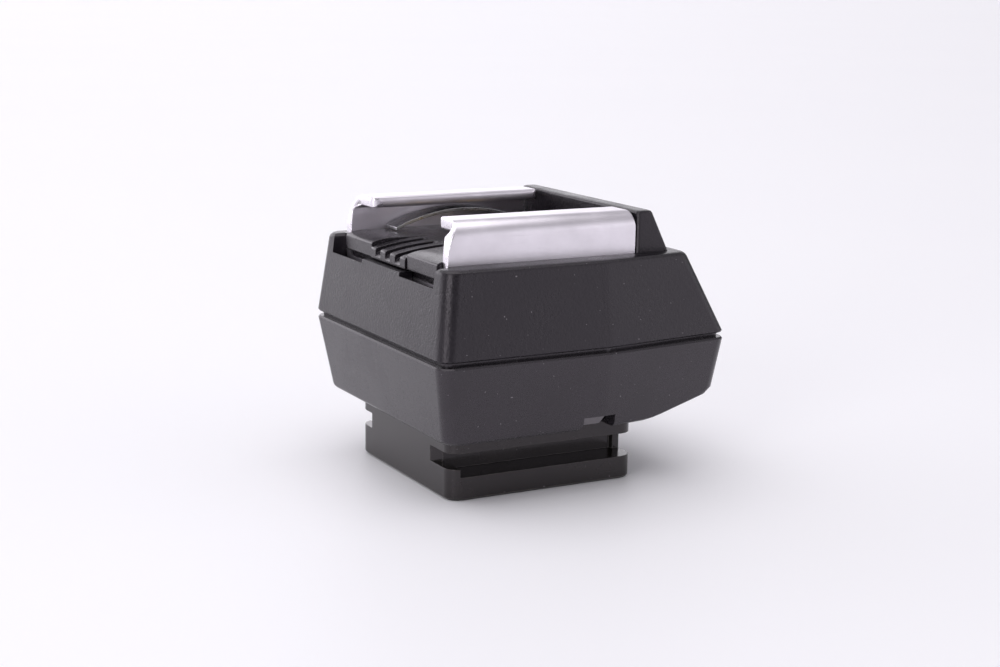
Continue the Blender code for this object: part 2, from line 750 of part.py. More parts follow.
def make_shoe_contacts():
    """Round contacts that press down against their springs on the circuit board."""
    head_low = SHOE_FLOOR - 0.15 * MM
    head_high = SHOE_FLOOR + 0.25 * MM
    for name, (x, y, head, shaft) in SHOE_CONTACTS.items():
        collar = shaft + 0.35 * MM
        contact = new_object(f"{name}_contact", lathe(
            [
                (shaft, BOARD_TOP + 0.5 * MM), (shaft, COLLAR_BOTTOM), (collar, COLLAR_BOTTOM),
                (collar, COLLAR_TOP), (shaft, COLLAR_TOP), (shaft, head_low),
                (head, head_low), (head, head_high - 0.1 * MM), (head - 0.1 * MM, head_high),
            ],
            segments=20,
        ), CONTACT_GOLD)
        contact.location = (x, y, 0.0)
        length = COLLAR_BOTTOM - BOARD_TOP - 2 * GAP
        spring = new_object(f"{name}_contact_spring", coil(shaft + 0.2 * MM, 0.1 * MM, length, 2.5), STEEL)
        spring.location = (x, y, BOARD_TOP + GAP)


def make_hold_down_springs():
    """Bowed leaves beside the rails, which press a foot up against the lips."""
    steps = 14
    for side, name in ((1, "left"), (-1, "right")):
        top = []
        bottom = []
        for step in range(steps + 1):
            part = step / steps
            height = SHOE_FLOOR + GAP + LEAF_RISE * max(sin(pi * part), 0.0) ** 0.85
            x = between(LEAF_FRONT, LEAF_BACK, part)
            bottom.append((x, height))
            top.append((x, height + LEAF_THICKNESS))
        low, high = sorted((side * LEAF_INNER, side * LEAF_OUTER))
        new_object(f"hold_down_spring_{name}", prism(bottom + top[::-1], low, high, "Y"), DARK_STEEL)


# ---------------------------------------------------------------- foot

def mouth_end():
    """The neck's edge at its flared end, as plan points towards +X."""
    return [(FOOT_BACK - NECK_FLARE, NECK_HALF), (FOOT_BACK, NECK_MOUTH), (FOOT_BACK + MM, NECK_MOUTH)]


def stop_end():
    """The neck's edge at its stopped end, as plan points towards +X."""
    step = FOOT_BACK - STOP_LENGTH
    return [(step, NECK_HALF), (step + 0.15 * MM, NECK_STOP), (FOOT_BACK + MM, NECK_STOP)]


def to_front(points):
    """The same edge at the foot's front end."""
    return [(FOOT_FRONT + FOOT_BACK - x, y) for x, y in reversed(points)]


def groove(neck_edge, side, low, high):
    """The material beside the neck, from its edge outwards."""
    outside = FOOT_HALF + MM
    plan = [(neck_edge[0][0], outside)] + neck_edge + [(neck_edge[-1][0], outside)]
    return prism([(x, side * y) for x, y in plan], low, high)


def make_foot_block():
    """Flange, neck and pedestal cut from one rounded block, with a spigot into the housing."""
    edge = 0.2 * MM
    rings = []
    for height, inset in ((0.0, edge), (edge, 0.0), (HOUSING_BOTTOM - GAP, 0.0)):
        outline = rectangle(FOOT_FRONT + inset, FOOT_BACK - inset, FOOT_HALF - inset, FOOT_CORNER - inset)
        rings.append([(x, y, height) for x, y in outline])
    foot = new_object("foot_block", loft(rings), BLACK_SMOOTH)
    behind_lug = [(FOOT_FRONT + LUG_LENGTH, NECK_HALF)]
    for side, front_end, back_end in ((-1, mouth_end(), stop_end()), (1, stop_end(), mouth_end())):
        cut(
            foot,
            groove(to_front(front_end) + back_end, side, LUG_TOP, PEDESTAL_BOTTOM),
            groove(behind_lug + back_end, side, FLANGE_TOP, LUG_TOP + GAP),
        )
    x_low, x_high, half = SPIGOT
    join(foot, prism(rectangle(x_low, x_high, half, 0.5 * MM, 2), HOUSING_BOTTOM - 0.5 * MM, FLOOR_TOP))
    cut(
        foot,
        box(CHANNEL_FRONT, FOOT_BACK + MM, -CHANNEL_HALF, CHANNEL_HALF, -MM, CHANNEL_TOP),
        rod(PIN_RADIUS + 0.1 * MM, -MM, FLOOR_TOP + MM, (PIN_X, 0.0)),
    )
    for y in foot_contact_rows():
        cut(foot, rod(FOOT_CONTACT_RADIUS + 0.08 * MM, -MM, FLOOR_TOP + MM, (FOOT_CONTACT_X, y), 12))
    for place in FOOT_SCREWS:
        cut(foot, rod(0.5 * MM, PEDESTAL_BOTTOM + 0.25 * MM, FLOOR_TOP + MM, place, 12))
    return foot


def foot_contact_rows():
    return [(number - 1.5) * FOOT_CONTACT_PITCH for number in range(4)]


def make_retainer_plate():
    """A steel plate inside the housing that the foot's screws pull against."""
    plate = new_object("retainer_plate", prism(rectangle(*PLATE, 1.5 * MM), PLATE_BOTTOM, PLATE_TOP), STEEL)
    slot = rectangle(FOOT_CONTACT_X - 0.8 * MM, FOOT_CONTACT_X + 0.8 * MM, 3.9 * MM, 0.3 * MM, 2)
    cut(
        plate,
        rod(PIN_RADIUS + 0.15 * MM, PLATE_BOTTOM - MM, PLATE_TOP + MM, (PIN_X, 0.0)),
        prism(slot, PLATE_BOTTOM - MM, PLATE_TOP + MM),
    )
    for place in FOOT_SCREWS:
        cut(plate, rod(0.55 * MM, PLATE_BOTTOM - MM, PLATE_TOP + MM, place, 12))
    return plate


def make_foot_contacts():
    """Four sprung pins whose tips stand below the channel's ceiling."""
    radius = FOOT_CONTACT_RADIUS
    collar = radius + 0.3 * MM
    collar_bottom = FOOT_COLLAR_TOP - 0.3 * MM
    stem = radius - 0.05 * MM
    for number, y in enumerate(foot_contact_rows(), 1):
        pin = new_object(f"foot_contact_{number}", lathe(
            [
                (0.2 * MM, 0.35 * MM), (radius, 0.55 * MM), (radius, collar_bottom), (collar, collar_bottom),
                (collar, FOOT_COLLAR_TOP), (stem, FOOT_COLLAR_TOP), (stem, FOOT_COLLAR_TOP + 1.3 * MM),
            ],
            segments=12,
        ), CONTACT_GOLD)
        pin.location = (FOOT_CONTACT_X, y, 0.0)
        length = CARRIER_CEILING - FOOT_COLLAR_TOP - 2 * GAP
        spring = new_object(f"foot_contact_spring_{number}", coil(0.56 * MM, 0.1 * MM, length, 4.0), STEEL)
        spring.location = (FOOT_CONTACT_X, y, FOOT_COLLAR_TOP + GAP)


def make_contact_carrier():
    """An insulating bridge that the foot contacts' springs push against."""
    low = PLATE_TOP + GAP
    inside = 4.2 * MM
    outside = 5.0 * MM
    outline = [
        (-outside, low), (-inside, low), (-inside, CARRIER_CEILING), (inside, CARRIER_CEILING),
        (inside, low), (outside, low), (outside, CARRIER_TOP), (-outside, CARRIER_TOP),
    ]
    return new_object("contact_carrier", prism(outline, 2.7 * MM, 4.8 * MM, "X"), BLACK_SMOOTH)


# ---------------------------------------------------------------- lock

def ramp_height(x):
    """The release slide's 45 degree ramp, higher towards -X."""
    return SLIDE_TOP + (RAMP_START - x)


def make_lock_pin():
    """A steel pin with a wedge-bottomed cross head that rides on the slide's ramps."""
    neck = HEAD_TOP - 0.5 * MM
    pin = new_object("lock_pin", lathe(
        [
            (PIN_RADIUS - 0.3 * MM, PIN_TIP), (PIN_RADIUS, PIN_TIP + 0.3 * MM), (PIN_RADIUS, neck),
            (PIN_STUD, neck), (PIN_STUD, HEAD_TOP + 0.9 * MM),
        ],
        (PIN_X, 0.0),
    ), STEEL)
    low = PIN_X - PIN_RADIUS
    high = PIN_X + PIN_RADIUS
    head = [(low, ramp_height(low) + GAP), (high, ramp_height(high) + GAP), (high, HEAD_TOP), (low, HEAD_TOP)]
    join(pin, prism(head, -RAMP_OUTER, RAMP_OUTER, "Y"))
    move_origin(pin, (PIN_X, 0.0, 0.0))
    spring_low = HEAD_TOP + GAP
    length = LOCK_BOSS_BOTTOM - GAP - spring_low
    spring = new_object("lock_spring", coil(0.9 * MM, 0.14 * MM, length, 3.5), STEEL)
    spring.location = (PIN_X, 0.0, spring_low)


def make_release_slide():
    """Finger tip in the side window, an upright leg, and an arm with ramps beside the lock pin."""
    arm = [
        (SLIDE_FRONT, -SLIDE_HALF), (TIP_FRONT, -SLIDE_HALF), (TIP_FRONT, LEG_NEAR), (ARM_BACK, LEG_NEAR),
        (ARM_BACK, SLIDE_HALF), (SLIDE_FRONT, SLIDE_HALF),
    ]
    slide = new_object("release_slide", prism(arm, SLIDE_BOTTOM, SLIDE_TOP), DARK_STEEL)
    tip_top = WINDOW_TOP - 0.1 * MM
    tip = [
        (TIP_FRONT, TIP_BOTTOM), (TIP_BACK - 0.6 * MM, TIP_BOTTOM),
        (TIP_BACK, tip_top), (TIP_FRONT, tip_top),
    ]
    join(
        slide,
        box(TIP_FRONT, ARM_BACK, LEG_NEAR, LEG_FAR, TIP_BOTTOM + 0.05 * MM, SLIDE_TOP - 0.1 * MM),
        prism(tip, TIP_NEAR, LEG_FAR - 0.2 * MM, "Y"),
    )
    far = RAMP_START - RAMP_LENGTH
    root = SLIDE_TOP - 0.2 * MM
    ramp = [(far, root), (RAMP_START, root), (RAMP_START, SLIDE_TOP), (far, ramp_height(far))]
    for low, high in ((RAMP_INNER, RAMP_OUTER), (-RAMP_OUTER, -RAMP_INNER)):
        join(slide, prism(ramp, low, high, "Y"))
    room = PIN_RADIUS + 0.1 * MM
    cut(slide, box(PIN_X - room - SLIDE_TRAVEL, PIN_X + room, -room, room, SLIDE_BOTTOM - MM, SLIDE_TOP + MM))
    move_origin(slide, (0.0, RELEASE_Y, (SLIDE_BOTTOM + SLIDE_TOP) / 2))
    length = RELEASE_STOP[0] - ARM_BACK - 2 * GAP
    spring = new_object("release_spring", coil(0.6 * MM, 0.12 * MM, length, 4.5), STEEL)
    spring.rotation_euler = (0.0, pi / 2, 0.0)
    spring.location = (ARM_BACK + GAP, RELEASE_Y, 8.5 * MM)


# ---------------------------------------------------------------- electrics and fasteners

def make_circuit_board():
    outline = rectangle(*BOARD, 0.6 * MM)
    board = new_object("circuit_board", prism(outline, BOARD_BOTTOM, BOARD_TOP), BOARD_GREEN)
    for place in BOARD_STUDS:
        cut(board, rod(0.5 * MM, BOARD_BOTTOM - MM, BOARD_TOP + MM, place, 12))
    return board


def make_wires():
    """Short leads from the contact carrier up to the underside of the board."""
    spread = 1.7
    steps = 6
    for (name, look), y in zip(WIRE_LOOKS.items(), foot_contact_rows()):
        path = []
        for step in range(steps + 1):
            part = step / steps
            ease = part * part * (3 - 2 * part)
            path.append(Vector((
                between(FOOT_CONTACT_X, MM, ease),
                between(y, y * spread, ease),
                between(CARRIER_TOP + GAP, BOARD_BOTTOM - GAP, part),
            )))
        new_object(f"{name}_wire", tube(path, 0.3 * MM, sides=6), look)


def screw(name, place, near, far, head_radius, shaft_radius, shaft_end, look):
    """A pan-head screw with a cross recess: the head from near to far, then the shaft to its end."""
    x, y = place
    way = 1 if far > near else -1
    chamfer = 0.15 * MM
    made = new_object(name, lathe(
        [
            (head_radius - chamfer, near), (head_radius, near + way * chamfer), (head_radius, far),
            (shaft_radius, far), (shaft_radius, shaft_end - way * chamfer),
            (shaft_radius - chamfer, shaft_end),
        ],
        place, 14,
    ), look)
    arm = head_radius * 0.65
    slit = 0.13 * MM
    low, high = sorted((near - way * chamfer, near + way * 0.4 * MM))
    cut(
        made,
        box(x - arm, x + arm, y - slit, y + slit, low, high),
        box(x - slit, x + slit, y - arm, y + arm, low, high),
    )


def make_screws():
    for number, place in enumerate(HOUSING_SCREWS, 1):
        end = DECK_BOTTOM - 0.6 * MM
        name = f"housing_screw_{number}"
        screw(name, place, HEAD_BOTTOM, COUNTERBORE_TOP - GAP, 1.1 * MM, 0.6 * MM, end, DARK_STEEL)
    for number, place in enumerate(FOOT_SCREWS, 1):
        end = PEDESTAL_BOTTOM + 0.45 * MM
        name = f"foot_screw_{number}"
        screw(name, place, PLATE_TOP + 0.6 * MM, PLATE_TOP + GAP, 0.9 * MM, 0.42 * MM, end, STEEL)
    for side, place in FRAME_SCREWS.items():
        end = SHOE_FLOOR - 0.9 * MM
        name = f"frame_screw_{side}"
        screw(name, place, DECK_BOTTOM - 0.9 * MM, DECK_BOTTOM - GAP, 1.1 * MM, 0.6 * MM, end, STEEL)


def main():
    for old in list(bpy.data.objects):
        bpy.data.objects.remove(old, do_unlink=True)
    make_upper_housing()
    make_lower_housing()
    make_shoe_frame()
    make_shoe_base()
    make_shoe_contacts()
    make_hold_down_springs()
    make_foot_block()
    make_retainer_plate()
    make_foot_contacts()
    make_contact_carrier()
    make_lock_pin()
    make_release_slide()
    make_circuit_board()
    make_wires()
    make_screws()
    for target in [made for made in bpy.data.objects if made.modifiers]:
        apply_cuts(target)


main()
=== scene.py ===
"""Looks for the flash shoe adapter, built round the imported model, in metres. MM is one millimetre."""
import json
import math

import bmesh
import bpy
from mathutils import Matrix, Vector


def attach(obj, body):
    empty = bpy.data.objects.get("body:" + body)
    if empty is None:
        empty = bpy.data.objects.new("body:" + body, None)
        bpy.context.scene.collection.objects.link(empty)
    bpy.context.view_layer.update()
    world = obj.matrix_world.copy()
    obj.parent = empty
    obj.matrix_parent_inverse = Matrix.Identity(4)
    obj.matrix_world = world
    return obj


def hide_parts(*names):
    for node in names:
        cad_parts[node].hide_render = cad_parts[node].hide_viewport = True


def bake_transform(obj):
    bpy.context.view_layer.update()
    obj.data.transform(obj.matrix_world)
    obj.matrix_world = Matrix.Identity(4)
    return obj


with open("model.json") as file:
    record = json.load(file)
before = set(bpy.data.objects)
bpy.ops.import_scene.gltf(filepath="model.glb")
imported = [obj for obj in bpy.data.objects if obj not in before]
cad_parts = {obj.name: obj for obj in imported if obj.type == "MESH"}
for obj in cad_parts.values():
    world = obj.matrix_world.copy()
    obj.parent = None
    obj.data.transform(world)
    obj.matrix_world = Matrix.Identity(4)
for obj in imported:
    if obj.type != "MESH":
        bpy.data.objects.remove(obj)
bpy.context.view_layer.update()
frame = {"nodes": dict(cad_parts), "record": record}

MM = 0.001
CAMERA_PLACE = Vector((-74.641, -135.015, 43.421)) * MM
CAMERA_AZIMUTH = -28.293
CAMERA_ELEVATION = 11.589
CAMERA_ROLL = 0.7165
CAMERA_LENS = 62.814
BODIES = frame["record"]["behaviour"]["bodies"]
BODY_OF = {node: body for body, nodes in BODIES.items() for node in nodes}


# ---------------------------------------------------------------- materials

def new_material(name, color, metallic, roughness):
    """A Principled material and its node tree."""
    made = bpy.data.materials.new(name)
    made.use_nodes = True
    shader = made.node_tree.nodes["Principled BSDF"]
    shader.inputs["Base Color"].default_value = (*color, 1.0)
    shader.inputs["Metallic"].default_value = metallic
    shader.inputs["Roughness"].default_value = roughness
    return made, made.node_tree, shader


def object_point(tree, stretch=(1.0, 1.0, 1.0)):
    """Coordinates fixed to the piece, stretched per axis."""
    where = tree.nodes.new("ShaderNodeTexCoord")
    mapping = tree.nodes.new("ShaderNodeMapping")
    mapping.inputs["Scale"].default_value = stretch
    tree.links.new(where.outputs["Object"], mapping.inputs["Vector"])
    return mapping.outputs["Vector"]


def noise(tree, vector, scale, detail=2.0, rough=0.5):
    """Cloudy noise between nought and one, at so many waves per metre."""
    made = tree.nodes.new("ShaderNodeTexNoise")
    made.inputs["Scale"].default_value = scale
    made.inputs["Detail"].default_value = detail
    made.inputs["Roughness"].default_value = rough
    tree.links.new(vector, made.inputs["Vector"])
    return made.outputs["Fac"]


def ramp(tree, value, low, high, out_low=0.0, out_high=1.0):
    """The value's place between low and high, spread over the output range and clamped to it."""
    made = tree.nodes.new("ShaderNodeMapRange")
    made.clamp = True
    made.inputs["From Min"].default_value = low
    made.inputs["From Max"].default_value = high
    made.inputs["To Min"].default_value = out_low
    made.inputs["To Max"].default_value = out_high
    tree.links.new(value, made.inputs["Value"])
    return made.outputs["Result"]


def combine(tree, operation, first, second):
    """A math node. Each input is a socket or a number."""
    made = tree.nodes.new("ShaderNodeMath")
    made.operation = operation
    for socket, value in zip(made.inputs, (first, second)):
        if isinstance(value, (int, float)):
            socket.default_value = value
        else:
            tree.links.new(value, socket)
    return made.outputs["Value"]


def blend_color(tree, factor, first, second):
    """A mix of two colours. Each is a socket or a plain colour."""
    made = tree.nodes.new("ShaderNodeMix")
    made.data_type = "RGBA"
    for socket, value in ((made.inputs["A"], first), (made.inputs["B"], second)):
        if isinstance(value, tuple):
            socket.default_value = (*value, 1.0)
        else:
            tree.links.new(value, socket)
    tree.links.new(factor, made.inputs["Factor"])
    return made.outputs["Result"]


def blend_value(tree, factor, first, second):
    """A mix of a socket and a number."""
    made = tree.nodes.new("ShaderNodeMix")
    made.data_type = "FLOAT"
    tree.links.new(factor, made.inputs["Factor"])
    tree.links.new(first, made.inputs["A"])
    made.inputs["B"].default_value = second
    return made.outputs["Result"]


def bump(tree, shader, height, distance):
    """Fine relief of that height in metres."""
    made = tree.nodes.new("ShaderNodeBump")
    made.inputs["Strength"].default_value = 1.0
    made.inputs["Distance"].default_value = distance
    tree.links.new(height, made.inputs["Height"])
    tree.links.new(made.outputs["Normal"], shader.inputs["Normal"])


def edge_mask(tree):
    """One on the rounded edges, which carry the attribute edge, and nought elsewhere."""
    made = tree.nodes.new("ShaderNodeAttribute")
    made.attribute_name = "edge"
    return made.outputs["Fac"]


PATCH_SCALE = 260.0
EDGE_PATCH_SCALE = 900.0
SPECK_SCALE = 5200.0
# Colour of the light specks: partly dust and partly painted glints of the grain.
DUST_AND_GLINT_COLOR = (0.14, 0.13, 0.14)
STREAK_SCALE = 420.0
CLOUD_SCALE = 190.0
SCRATCH_SCALE = 2600.0


def plastic(name, color, edge_wear_and_highlight_color, roughness, grain_scale, grain_height, streak=0.0, level=0.5):
    """Moulded plastic: grain, patchy gloss, paler edges that are partly wear and partly a painted
    highlight, and a few light specks that are partly dust and partly painted glints of the grain.
    """
    made, tree, shader = new_material(name, color, 0.0, roughness)
    shader.inputs["IOR"].default_value = 1.5
    shader.inputs["Specular IOR Level"].default_value = level
    shader.inputs["Specular Tint"].default_value = (1.0, 0.93, 1.0, 1.0)
    where = object_point(tree)
    patch = noise(tree, where, PATCH_SCALE, 4.0, 0.6)
    grain = noise(tree, where, grain_scale, 3.0, 0.62)
    fine = noise(tree, where, grain_scale * 2.4, 2.0, 0.5)
    # The paler edges are partly wear and partly a painted highlight along the rounded edges, broken up
    # by noise.
    edge_wear_and_highlight_patches = ramp(tree, noise(tree, where, EDGE_PATCH_SCALE, 5.0, 0.65), 0.38, 0.62)
    worn_and_highlit_edges = combine(tree, "MULTIPLY", edge_mask(tree), edge_wear_and_highlight_patches)
    shade = blend_color(tree, ramp(tree, patch, 0.35, 0.7), color, tuple(1.35 * c for c in color))
    shade = blend_color(tree, worn_and_highlit_edges, shade, edge_wear_and_highlight_color)
    # Light specks, partly dust and partly painted glints of the grain.
    dust_and_glint_specks = ramp(tree, noise(tree, where, SPECK_SCALE, 0.0), 0.85, 0.87)
    shade = blend_color(tree, dust_and_glint_specks, shade, DUST_AND_GLINT_COLOR)
    tree.links.new(shade, shader.inputs["Base Color"])
    gloss = ramp(tree, patch, 0.3, 0.7, roughness - 0.05, roughness + 0.06)
    gloss = combine(tree, "ADD", gloss, ramp(tree, fine, 0.3, 0.7, -0.05, 0.05))
    gloss = combine(tree, "SUBTRACT", gloss, combine(tree, "MULTIPLY", worn_and_highlit_edges, 0.1))
    tree.links.new(gloss, shader.inputs["Roughness"])
    height = combine(tree, "ADD", grain, combine(tree, "MULTIPLY", fine, 0.4))
    if streak:
        lines = noise(tree, object_point(tree, (1.0, 1.0, 26.0)), STREAK_SCALE, 3.0, 0.7)
        height = combine(tree, "ADD", height, combine(tree, "MULTIPLY", lines, streak))
    bump(tree, shader, height, grain_height)
    return made


def satin(name, color, roughness, grain_scale, grain_height, stretch, scuff, painted_edge_shading_gain=1.0):
    """Blasted and brushed sheet metal, with faint scuffs, and smoother edges whose colour is scaled by
    the gain as painted edge shading.
    """
    made, tree, shader = new_material(name, color, 1.0, roughness)
    where = object_point(tree)
    brushed = noise(tree, object_point(tree, stretch), grain_scale, 3.0, 0.6)
    cloud = noise(tree, where, CLOUD_SCALE, 4.0, 0.55)
    blast = noise(tree, where, grain_scale * 2.2, 2.0, 0.5)
    along = object_point(tree, (0.06, 1.0, 1.0))
    scratch = ramp(tree, noise(tree, along, SCRATCH_SCALE, 2.0), 0.64, 0.70)
    dark = tuple(0.80 * c for c in color)
    shade = blend_color(tree, ramp(tree, cloud, 0.3, 0.75), color, dark)
    shade = blend_color(tree, combine(tree, "MULTIPLY", scratch, scuff), shade, dark)
    # Painted edge shading: the rounded edges take the metal's colour scaled by the gain.
    shade = blend_color(tree, edge_mask(tree), shade, tuple(painted_edge_shading_gain * c for c in color))
    tree.links.new(shade, shader.inputs["Base Color"])
    gloss = ramp(tree, brushed, 0.25, 0.75, roughness - 0.06, roughness + 0.08)
    gloss = combine(tree, "SUBTRACT", gloss, combine(tree, "MULTIPLY", edge_mask(tree), 0.08))
    tree.links.new(gloss, shader.inputs["Roughness"])
    height = combine(tree, "ADD", combine(tree, "MULTIPLY", brushed, 0.5), blast)
    bump(tree, shader, height, grain_height)
    return made


def sleeve(name, color, edge_wear_and_highlight_color):
    """The soft plastic round a wire."""
    return plastic(name, color, edge_wear_and_highlight_color, 0.42, 3000.0, 0.004 * MM)


# Each plastic's edge colour is partly real wear and partly a painted highlight on its rounded edges.
MATERIALS = {
    "black_grain": plastic(
        "grained_black_plastic", color=(0.0045, 0.0036, 0.0056), edge_wear_and_highlight_color=(0.02, 0.018, 0.022),
        roughness=0.32, grain_scale=3600.0, grain_height=0.04 * MM),
    "black_smooth": plastic(
        "smooth_black_plastic", color=(0.011, 0.0095, 0.012), edge_wear_and_highlight_color=(0.03, 0.028, 0.032),
        roughness=0.26, grain_scale=3600.0, grain_height=0.002 * MM, streak=0.3, level=0.62),
    "foot_gloss": plastic(
        "glossy_foot_plastic", color=(0.013, 0.0115, 0.0105), edge_wear_and_highlight_color=(0.05, 0.047, 0.043),
        roughness=0.17, grain_scale=3200.0, grain_height=0.0012 * MM, streak=0.8),
    "satin_metal": satin(
        "satin_silver_sheet", color=(0.84, 0.80, 0.86), roughness=0.36, grain_scale=5200.0,
        grain_height=0.0045 * MM, stretch=(0.35, 1.0, 1.0), scuff=0.35),
    "steel": satin(
        "bright_spring_steel", color=(0.55, 0.55, 0.56), roughness=0.28, grain_scale=4000.0,
        grain_height=0.002 * MM, stretch=(0.2, 1.0, 1.0), scuff=0.5),
    # The blackened steel's rounded edges are painted darker, as painted shade.
    "dark_steel": satin(
        "blackened_steel", color=(0.16, 0.15, 0.16), roughness=0.34, grain_scale=4200.0,
        grain_height=0.003 * MM, stretch=(0.3, 1.0, 1.0), scuff=0.5, painted_edge_shading_gain=0.3),
    "contact_gold": satin(
        "plated_contact", color=(0.80, 0.58, 0.26), roughness=0.25, grain_scale=5200.0,
        grain_height=0.0015 * MM, stretch=(1.0, 1.0, 1.0), scuff=0.3),
    "board_green": plastic(
        "board_laminate", color=(0.012, 0.09, 0.035), edge_wear_and_highlight_color=(0.30, 0.28, 0.18),
        roughness=0.32, grain_scale=2600.0, grain_height=0.004 * MM),
    "wire_red": sleeve("red_wire_sleeve", (0.42, 0.012, 0.010), (0.5, 0.03, 0.02)),
    "wire_yellow": sleeve("yellow_wire_sleeve", (0.60, 0.40, 0.02), (0.7, 0.5, 0.05)),
    "wire_blue": sleeve("blue_wire_sleeve", (0.012, 0.05, 0.35), (0.03, 0.1, 0.5)),
    "wire_black": sleeve("black_wire_sleeve", (0.012, 0.012, 0.012), (0.03, 0.03, 0.03)),
}


# ---------------------------------------------------------------- pieces

# The rails' sizes, in millimetres.
RAIL_HALF = 10.3
RAIL_TOP = 23.9
RAIL_FRONT = -12.42
RAIL_BACK = 5.6
SHEET = 0.95
BEND_RADIUS = 1.3
LIP_EDGE = 6.65
LIP_CORNER_X = 0.9
LIP_CORNER_Y = 0.45
LIP_SETBACK = 1.0
LIP_ROUND = 0.36
INNER_SHARE = 0.45
LIP_BACK = 0.2
BEND_SETBACK = 0.38
EDGE_ROUND = 0.16
LIP_STEPS = 6
BEND_STEPS = 12
END_STEPS = 4
PLATE_TOP = 19.1

# The lower housing's underside: its height, its outline and its edge's radius, in millimetres.
RIM_TOP = 5.72
RIM_SIDE = 11.9
RIM_FRONT = -12.7
RIM_BACK = 6.6
RIM_ROUND = 0.4

WELD = 0.0005 * MM
FLAT_ANGLE = math.radians(0.6)
RIM_ANGLE = math.radians(40.0)
SMOOTH_ANGLE = 28.0

# Each piece's edge radius in millimetres, and the least angle in degrees that counts as an edge.
ROUNDING = {
    "upper_housing": (0.10, 24.0), "lower_housing": (0.09, 24.0),
    "shoe_base": (0.08, 24.0), "foot_block": (0.10, 24.0), "release_slide": (0.07, 30.0),
    "hold_down_spring_left": (0.04, 40.0), "hold_down_spring_right": (0.04, 40.0),
    "centre_contact": (0.03, 30.0), "ready_contact": (0.03, 30.0), "control_contact": (0.03, 30.0),
    "lock_pin": (0.03, 30.0), "contact_carrier": (0.05, 30.0), "circuit_board": (0.03, 40.0),
    "retainer_plate": (0.04, 40.0),
}


def joined_copy(node):
    """A bmesh of a CAD node with shared corners welded and its flat areas made whole."""
    mesh = bmesh.new()
    mesh.from_mesh(frame["nodes"][node].data)
    bmesh.ops.remove_doubles(mesh, verts=mesh.verts, dist=WELD)
    bmesh.ops.dissolve_limit(mesh, angle_limit=FLAT_ANGLE, verts=mesh.verts, edges=mesh.edges)
    return mesh


def is_bottom_rim(edge):
    """Whether an edge lies on the outer outline of the lower housing's underside."""
    if not edge.is_manifold or any(vert.co.z > RIM_TOP * MM for vert in edge.verts):
        return False
    if edge.calc_face_angle(0.0) < RIM_ANGLE:
        return False
    middle = (edge.verts[0].co + edge.verts[1].co) / 2 / MM
    return abs(middle.y) > RIM_SIDE or middle.x < RIM_FRONT or middle.x > RIM_BACK


def smooth_object(name, shape_name, mesh, smooth_angle):
    """Turns a bmesh into a shown object, smooth but for edges past that angle in degrees."""
    for face in mesh.faces:
        face.smooth = True
    data = bpy.data.meshes.new(shape_name)
    mesh.to_mesh(data)
    mesh.free()
    data.set_sharp_from_angle(angle=math.radians(smooth_angle))
    piece = bpy.data.objects.new(name, data)
    bpy.context.scene.collection.objects.link(piece)
    return piece


def stand_for(piece, node, material):
    """Gives a piece its material and has it stand for a CAD node."""
    piece.data.materials.clear()
    piece.data.materials.append(material)
    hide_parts(node)


def rounded_piece(node, width, angle):
    """A copy of a CAD node with its sharp outer edges rounded and marked as edges."""
    mesh = joined_copy(node)
    layer = mesh.faces.layers.float.new("edge")
    if node == "lower_housing":
        rim = [edge for edge in mesh.edges if is_bottom_rim(edge)]
        bmesh.ops.bevel(mesh, geom=rim, offset=RIM_ROUND * MM, offset_type="OFFSET", segments=5,
                        profile=0.5, affect="EDGES", clamp_overlap=False)
    sharp = [edge for edge in mesh.edges
             if edge.is_manifold and edge.calc_face_angle(0.0) > math.radians(angle)]
    made = bmesh.ops.bevel(mesh, geom=sharp, offset=width * MM, offset_type="OFFSET", segments=3,
                           profile=0.5, affect="EDGES", clamp_overlap=True, miter_outer="ARC",
                           loop_slide=True)
    for face in made["faces"]:
        face[layer] = 1.0
    piece = smooth_object(node + "_piece", node + "_shape", mesh, SMOOTH_ANGLE)
    weighted = piece.modifiers.new("normals", "WEIGHTED_NORMAL")
    weighted.keep_sharp = True
    weighted.weight = 80
    return piece


def add_frame_piece(name, mesh, smooth_angle):
    """Turns a bmesh into a silver piece that stands for the shoe frame and rides with it."""
    piece = smooth_object(name, name + "_shape", mesh, smooth_angle)
    stand_for(piece, "shoe_frame", MATERIALS["satin_metal"])
    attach(piece, BODY_OF["shoe_frame"])


def rail_stations():
    """The rail's section, from the lip to its hidden foot.

    Each station holds outer y and z, inner y and z, the setback at the front and at the back, and
    the share of the front setback that the inner edge takes.
    """
    stations = []
    for step in range(LIP_STEPS + 1):
        angle = math.pi / 2 * step / LIP_STEPS
        y = LIP_EDGE + LIP_CORNER_Y * (1 - math.cos(angle))
        pull = LIP_CORNER_X * (1 - math.sin(angle))
        slim = LIP_ROUND * (1 - math.sin(min(angle * 1.6, math.pi / 2)))
        stations.append((y, RAIL_TOP - slim, y, RAIL_TOP - SHEET + slim,
                         LIP_SETBACK + pull, LIP_BACK + pull * 0.5, 1.0))
    bend_y = RAIL_HALF - BEND_RADIUS
    bend_z = RAIL_TOP - BEND_RADIUS
    inner = BEND_RADIUS - SHEET
    for step in range(BEND_STEPS + 1):
        part = step / BEND_STEPS
        angle = math.pi / 2 * (1 - part)
        ease = 1 - part ** 1.5
        stations.append((
            bend_y + BEND_RADIUS * math.cos(angle), bend_z + BEND_RADIUS * math.sin(angle),
            bend_y + inner * math.cos(angle), bend_z + inner * math.sin(angle),
            BEND_SETBACK + (LIP_SETBACK - BEND_SETBACK) * ease, LIP_BACK * ease,
            INNER_SHARE + (1 - INNER_SHARE) * ease,
        ))
    for height, setback in ((22.0, 0.2), (21.4, 0.05), (21.0, 0.0), (19.2, 0.0)):
        stations.append((RAIL_HALF, height, RAIL_HALF - SHEET, height, setback, 0.0, INNER_SHARE))
    return stations


